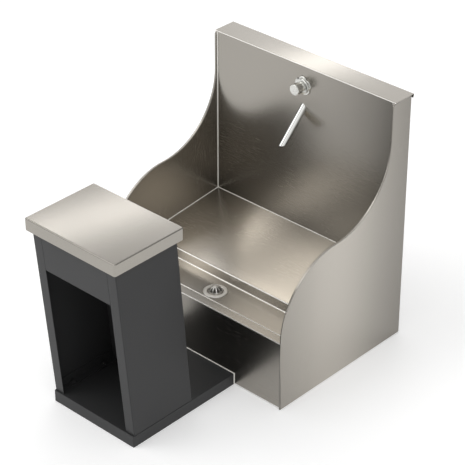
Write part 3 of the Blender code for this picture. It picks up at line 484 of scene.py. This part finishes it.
def rounded_cheek(side):
    """A cabinet side with its liner: the CAD outline at full thickness, with a rolled edge."""
    panel = "side_panel_" + side
    low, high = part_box(panel)
    outside, inside = (low.x, high.x) if side == "left" else (high.x, low.x)
    outline = side_outline(panel, outside)
    cheek = bmesh.new()
    rings = [[cheek.verts.new((x, y, z)) for y, z in outline] for x in (outside, inside)]
    caps = [cheek.faces.new(rings[0]), cheek.faces.new(list(reversed(rings[1])))]
    count = len(outline)
    for k in range(count):
        cheek.faces.new((rings[0][k], rings[0][(k + 1) % count],
                         rings[1][(k + 1) % count], rings[1][k]))
    bmesh.ops.recalc_face_normals(cheek, faces=cheek.faces)
    rims = [edge for cap in caps for edge in cap.edges]
    bmesh.ops.bevel(cheek, geom=rims, offset=CHEEK_ROLL, segments=4, profile=0.5,
                    affect="EDGES", clamp_overlap=True)
    for face in cheek.faces:
        face.smooth = True
        # Inner faces get the lighter liner steel: painted light on the inside of the cheeks.
        face.material_index = int(abs(face.calc_center_median().x - inside) < MERGE_DISTANCE)
    piece = new_piece("cheek_" + side, cheek, "steel_side", "steel_liner")
    keep_faces_flat(piece)
    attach(piece, "cabinet")
    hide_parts(panel, "side_liner_" + side)


rounded_cheek("left")
rounded_cheek("right")


def join_rings(shape, rings):
    """Skins a row of vertex rings and closes both ends; the skin is smooth, the ends flat."""
    count = len(rings[0])
    for first, second in zip(rings, rings[1:]):
        for k in range(count):
            following = (k + 1) % count
            shape.faces.new((first[k], first[following], second[following], second[k]))
    shape.faces.new(rings[0])
    shape.faces.new(list(reversed(rings[-1])))
    bmesh.ops.recalc_face_normals(shape, faces=shape.faces)
    for face in shape.faces:
        face.smooth = len(face.verts) == 4


# Valve spring -----------------------------------------------------------------------------------

def coiled_spring(name):
    """The valve's return spring, with closed end coils."""
    low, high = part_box(name)
    middle = (low + high) / 2
    coil = (high.x - low.x) / 2 - SPRING_WIRE
    closed_rise = 2 * SPRING_CLOSED * SPRING_WIRE
    open_rise = high.y - low.y - 2 * SPRING_WIRE - closed_rise
    open_turns = SPRING_TURNS - 2 * SPRING_CLOSED
    spring = bmesh.new()
    rings = []
    for step in range(SPRING_TURNS * SPRING_STEPS + 1):
        turn = step / SPRING_STEPS
        share = min(max((turn - SPRING_CLOSED) / open_turns, 0.0), 1.0)
        flat_turns = min(turn, SPRING_CLOSED) + max(turn - SPRING_TURNS + SPRING_CLOSED, 0.0)
        along = low.y + SPRING_WIRE * (1 + flat_turns) + share * open_rise
        outward = Vector((math.cos(2 * math.pi * turn), 0, math.sin(2 * math.pi * turn)))
        centre = Vector((middle.x, along, middle.z)) + outward * coil
        ring = []
        for side in range(SPRING_SIDES):
            angle = 2 * math.pi * side / SPRING_SIDES
            offset = outward * math.cos(angle) + Vector((0, math.sin(angle), 0))
            ring.append(spring.verts.new(centre + offset * SPRING_WIRE))
        rings.append(ring)
    join_rings(spring, rings)
    piece = new_piece(name + "_coil", spring, "zinc")
    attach(piece, "cabinet")
    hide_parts(name)
    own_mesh(piece)


coiled_spring("valve_spring")


# Seams ------------------------------------------------------------------------------------------

LEFT, FORWARD, UP = Vector((-1, 0, 0)), Vector((0, -1, 0)), Vector((0, 0, 1))


def seam(name, path, side, lift, radius, key, hollow=True):
    """A bead swept along a path in a corner: side and lift point along the two faces.

    Lift may be a list with a vector for each point of the path. A hollow bead fills an inside
    corner, and one that isn't hollow covers an edge or stands proud."""
    arc = []
    for step in range(BEAD_STEPS + 1):
        angle = math.pi / 2 * step / BEAD_STEPS
        if hollow:
            arc.append((1 - math.sin(angle), 1 - math.cos(angle)))
        else:
            arc.append((math.cos(angle), math.sin(angle)))
    section = [(-BEAD_ROOT, -BEAD_ROOT)] + [(u * radius, v * radius) for u, v in arc]
    lifts = lift if isinstance(lift, list) else [lift] * len(path)
    bead = bmesh.new()
    rings = [[bead.verts.new(point + side * u + up * v) for u, v in section]
             for point, up in zip(path, lifts)]
    join_rings(bead, rings)
    piece = new_piece(name, bead, key)
    piece.data.set_sharp_from_angle(angle=BEAD_ANGLE)
    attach(piece, "cabinet")


def mitred(path):
    """Upward normals of a path in the y-z plane, with mitres at its corners."""
    legs = [(b - a).normalized() for a, b in zip(path, path[1:])]
    normals = [Vector((0, -leg.z, leg.y)) for leg in legs]
    mitres = [normals[0]]
    for first, second in zip(normals, normals[1:]):
        mitres.append((first + second) / (1 + first.dot(second)))
    return mitres + [normals[-1]]


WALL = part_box("back_panel")[0].y
WALL_BEAD_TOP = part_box("back_panel")[1].z - WALL_BEAD_DROP
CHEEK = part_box("side_liner_right")[0].x
CAP_SIDE, CAP_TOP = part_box("top_cap")[1].x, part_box("top_cap")[1].z
RIM_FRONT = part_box("wash_deck")[0].y
PANEL_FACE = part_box("front_panel")[0].y
PLINTH_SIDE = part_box("base_plinth")[1].x
SIDES = (("left", -1), ("right", 1))

# Pale sealant beads in the corners, which also paint the bright highlight lines along the seams.
deck_path = [Vector((0, y, z)) for y, z in [
    (RIM_FRONT + RIM_SETBACK, RIM_Z), (TROUGH_Y, RIM_Z), (TROUGH_Y, TROUGH_Z), (STEP_Y, TROUGH_Z),
    (STEP_Y, STEP_Z), (WALL, DECK_WALL_Z)]]
for side, sign in SIDES:
    edge = sign * CHEEK
    corner = Vector((edge, WALL, DECK_WALL_Z))
    seam("sealant_wall_" + side, [corner, Vector((edge, WALL, WALL_BEAD_TOP))],
         sign * LEFT, FORWARD, CORNER_BEAD_RADIUS, "sealant_and_highlight")
    seam("sealant_deck_" + side, [point + Vector((edge, 0, 0)) for point in deck_path],
         sign * LEFT, mitred(deck_path), CORNER_BEAD_RADIUS, "sealant_and_highlight")
seam("sealant_deck_wall", [Vector((-CHEEK, WALL, DECK_WALL_Z)), Vector((CHEEK, WALL, DECK_WALL_Z))],
     Vector((0, -1, -DECK_SLOPE)), UP, CORNER_BEAD_RADIUS, "sealant_and_highlight")

# Thin beads of the lighter fold steel, which paint highlight lines along the fold edges.
FOLD_LINES = [
    # name, y, z, half length
    ("highlight_line_cap_front", WALL, CAP_TOP - FOLD_LINE_RADIUS, CAP_SIDE),
    ("fold_rim_rear", TROUGH_Y, RIM_Z, CHEEK),
    ("fold_rim_front", RIM_FRONT, RIM_Z - RIM_LINE_DROP, CHEEK),
]
for name, y, z, reach in FOLD_LINES:
    seam(name, [Vector((-reach, y, z)), Vector((reach, y, z))], FORWARD, UP, FOLD_LINE_RADIUS,
         "fold", hollow=False)

# A pale sealant bead along the plinth's joint, which also paints its highlight line.
plinth_ends = [Vector((sign * PLINTH_SIDE, PANEL_FACE, PLINTH_TOP)) for _, sign in SIDES]
seam("sealant_plinth_top", plinth_ends, FORWARD, UP, PLINTH_BEAD_RADIUS, "sealant_and_highlight", hollow=False)
for side, sign in SIDES:
    foot = Vector((sign * PLINTH_SIDE, PANEL_FACE, PLINTH_BEAD_FOOT))
    top = Vector((sign * PLINTH_SIDE, PANEL_FACE, PLINTH_TOP + PLINTH_BEAD_RADIUS))
    seam("sealant_plinth_" + side, [foot, top], FORWARD, -sign * LEFT, PLINTH_BEAD_RADIUS,
         "sealant_and_highlight", hollow=False)


# Studio -----------------------------------------------------------------------------------------

def make_floor():
    """A plain pale floor, much wider than the view, with a faint glow of its own."""
    mesh = bpy.data.meshes.new("studio_floor")
    size = FLOOR_HALF_WIDTH
    corners = [(-size, -size, 0), (size, -size, 0), (size, size, 0), (-size, size, 0)]
    mesh.from_pydata(corners, [], [(0, 1, 2, 3)])
    floor = bpy.data.objects.new("studio_floor", mesh)
    floor.location.z = FLOOR_Z
    bpy.context.scene.collection.objects.link(floor)
    paint = Shader("studio_floor_paint").set(Base_Color=(0.90, 0.90, 0.90), Roughness=0.9,
                                             Specular_IOR_Level=0.1)
    paint.set(Emission_Color=(1.0, 1.0, 1.0), Emission_Strength=FLOOR_GLOW)
    mesh.materials.append(paint.material)


def heading(azimuth, elevation):
    """Unit vector for a bearing: 0 is the front (-Y), 90 is the right (+X)."""
    azimuth, elevation = math.radians(azimuth), math.radians(elevation)
    return Vector((math.sin(azimuth) * math.cos(elevation),
                   -math.cos(azimuth) * math.cos(elevation), math.sin(elevation)))


def make_world():
    """A dim even room with a few large soft boxes, each a smooth round glow."""
    world = bpy.data.worlds.new("studio")
    world.use_nodes = True
    bpy.context.scene.world = world
    tree = world.node_tree
    background = tree.nodes["Background"]
    direction = tree.nodes.new("ShaderNodeTexCoord").outputs["Generated"]

    def math_node(operation, first, second):
        node = tree.nodes.new("ShaderNodeMath")
        node.operation = operation
        for socket, value in zip(node.inputs, (first, second)):
            if isinstance(value, (int, float)):
                socket.default_value = value
            elif value is not None:
                tree.links.new(value, socket)
        return node.outputs["Value"]

    total = None
    for azimuth, elevation, spread, strength in SOFT_BOXES:
        facing = tree.nodes.new("ShaderNodeVectorMath")
        facing.operation = "DOT_PRODUCT"
        facing.inputs[1].default_value = heading(azimuth, elevation)
        tree.links.new(direction, facing.inputs[0])
        off_axis = math_node("SUBTRACT", facing.outputs["Value"], 1.0)
        # The glow falls to 0.61 of its middle at the spread angle.
        sharpness = 0.5 / (1 - math.cos(math.radians(spread)))
        glow = math_node("EXPONENT", math_node("MULTIPLY", off_axis, sharpness), None)
        glow = math_node("MULTIPLY", glow, strength)
        total = math_node("ADD", glow, ROOM_LIGHT if total is None else total)
    tree.links.new(total, background.inputs["Color"])
    background.inputs["Strength"].default_value = 1.0


def make_strip_light():
    """A long narrow lamp above and behind the cabinet's left side."""
    start, end = STRIP_START, STRIP_END
    along = end - start
    data = bpy.data.lights.new("strip_light", "AREA")
    data.shape = "RECTANGLE"
    data.size = STRIP_WIDTH
    data.size_y = along.length
    data.energy = STRIP_RADIANCE * math.pi * data.size * data.size_y
    lamp = bpy.data.objects.new("strip_light", data)
    lamp.location = (start + end) / 2
    lamp.rotation_euler = (0, 0, math.atan2(along.y, along.x) - math.pi / 2)
    lamp.visible_camera = False
    bpy.context.scene.collection.objects.link(lamp)


def make_camera():
    back = heading(CAMERA_AZIMUTH, CAMERA_ELEVATION)
    data = bpy.data.cameras.new("camera")
    data.lens = CAMERA_LENS
    data.sensor_width = SENSOR_WIDTH
    data.clip_end = 60.0
    camera = bpy.data.objects.new("camera", data)
    camera.location = CAMERA_TARGET + back * CAMERA_DISTANCE
    camera.rotation_euler = back.to_track_quat("Z", "Y").to_euler()
    bpy.context.scene.collection.objects.link(camera)
    bpy.context.scene.camera = camera


make_floor()
make_world()
make_strip_light()
make_camera()
bpy.context.scene.view_settings.view_transform = "Standard"
